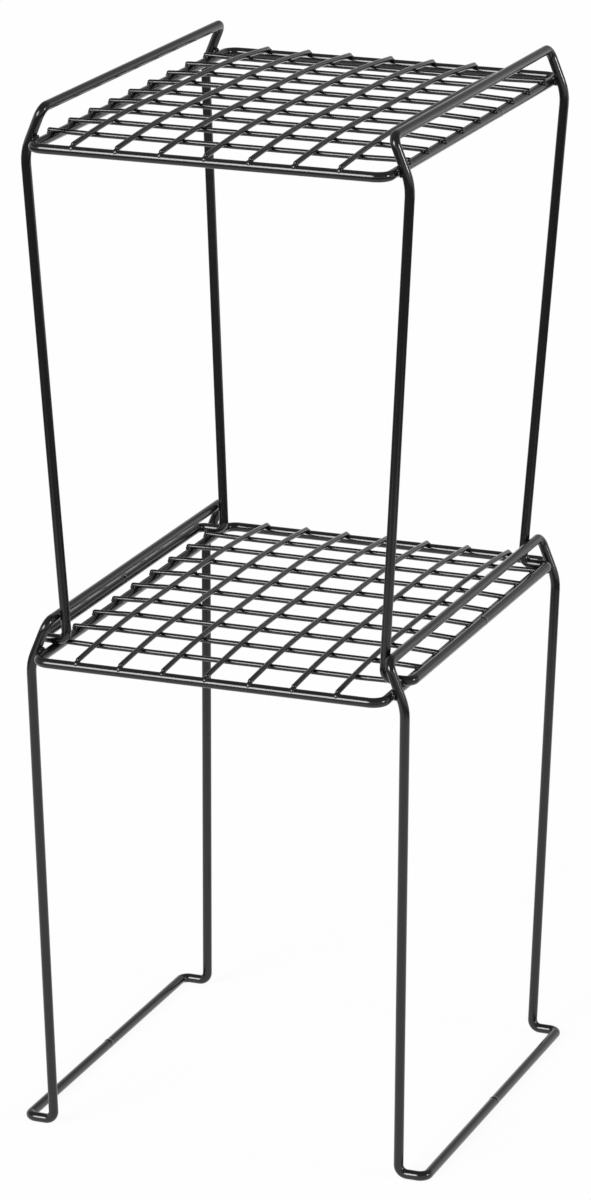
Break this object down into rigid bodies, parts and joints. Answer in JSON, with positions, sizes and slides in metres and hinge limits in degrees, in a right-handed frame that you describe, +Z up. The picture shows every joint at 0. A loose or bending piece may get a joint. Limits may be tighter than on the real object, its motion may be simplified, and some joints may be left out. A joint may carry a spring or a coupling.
{
  "type": "stacking wire shelf",
  "caption": "Stack of welded wire shelves with open grid tops, splayed sprung legs and raised side rails that the feet of the shelf above clip under.",
  "frame": {"origin": "on the floor, below the middle of the stack", "axes": "+Z up, +X to the right across the width between the side frames, front towards -Y"},
  "size_m": [0.2972, 0.3526, 0.7157],
  "materials": {
    "frame_coating": "semi-gloss black coating on bent steel wire",
    "grid_coating": "semi-gloss black coating on straight steel wire"
  },
  "bodies": {
    "lower_shelf": {"lower_shelf_rim": "frame_coating", "lower_left_side_frame": "frame_coating", "lower_right_side_frame": "frame_coating", "lower_cross_wire_1": "grid_coating", "lower_cross_wire_2": "grid_coating", "lower_cross_wire_3": "grid_coating", "lower_cross_wire_4": "grid_coating", "lower_cross_wire_5": "grid_coating", "lower_cross_wire_6": "grid_coating", "lower_cross_wire_7": "grid_coating", "lower_cross_wire_8": "grid_coating", "lower_cross_wire_9": "grid_coating", "lower_long_wire_1": "grid_coating", "lower_long_wire_2": "grid_coating", "lower_long_wire_3": "grid_coating", "lower_long_wire_4": "grid_coating", "lower_long_wire_5": "grid_coating", "lower_long_wire_6": "grid_coating", "lower_long_wire_7": "grid_coating"},
    "upper_shelf": {"upper_shelf_rim": "frame_coating", "upper_left_side_frame": "frame_coating", "upper_right_side_frame": "frame_coating", "upper_cross_wire_1": "grid_coating", "upper_cross_wire_2": "grid_coating", "upper_cross_wire_3": "grid_coating", "upper_cross_wire_4": "grid_coating", "upper_cross_wire_5": "grid_coating", "upper_cross_wire_6": "grid_coating", "upper_cross_wire_7": "grid_coating", "upper_cross_wire_8": "grid_coating", "upper_cross_wire_9": "grid_coating", "upper_long_wire_1": "grid_coating", "upper_long_wire_2": "grid_coating", "upper_long_wire_3": "grid_coating", "upper_long_wire_4": "grid_coating", "upper_long_wire_5": "grid_coating", "upper_long_wire_6": "grid_coating", "upper_long_wire_7": "grid_coating"}
  },
  "joints": [
    {"name": "upper_shelf_lift", "type": "slide", "parent": "lower_shelf", "child": "upper_shelf", "axis": [0, 0, 1], "range_m": [0, 0.009]}
  ]
}
